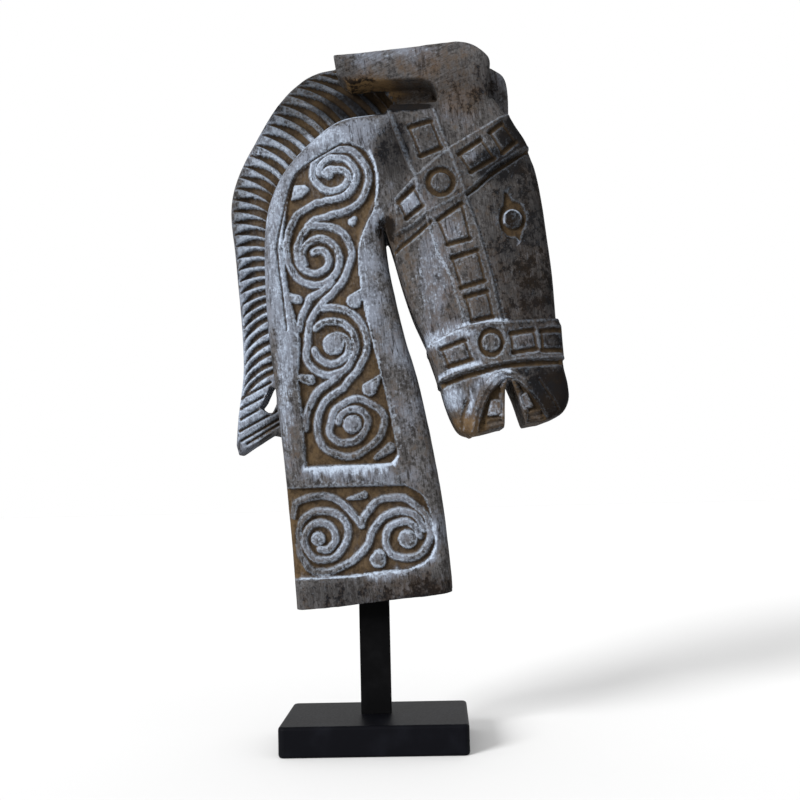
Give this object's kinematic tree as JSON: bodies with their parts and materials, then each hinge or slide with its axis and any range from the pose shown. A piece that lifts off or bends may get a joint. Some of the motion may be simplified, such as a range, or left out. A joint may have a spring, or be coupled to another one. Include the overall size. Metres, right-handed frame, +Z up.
{
  "type": "horse head sculpture",
  "caption": "Weathered driftwood horse head with carved mane, bridle and scrollwork, held up by a flat bar on a black slab base.",
  "frame": {"origin": "centre of the base's underside", "axes": "+Z up, +X towards the nose, the carved faces square to Y"},
  "size_m": [0.2226, 0.082, 0.4636],
  "materials": {
    "driftwood": "weathered grey brown, limed on the ridges",
    "post_paint": "matt black",
    "base_paint": "satin black paint"
  },
  "bodies": {
    "root": {"carved_head": "driftwood", "post": "post_paint", "base": "base_paint"}
  },
  "joints": []
}
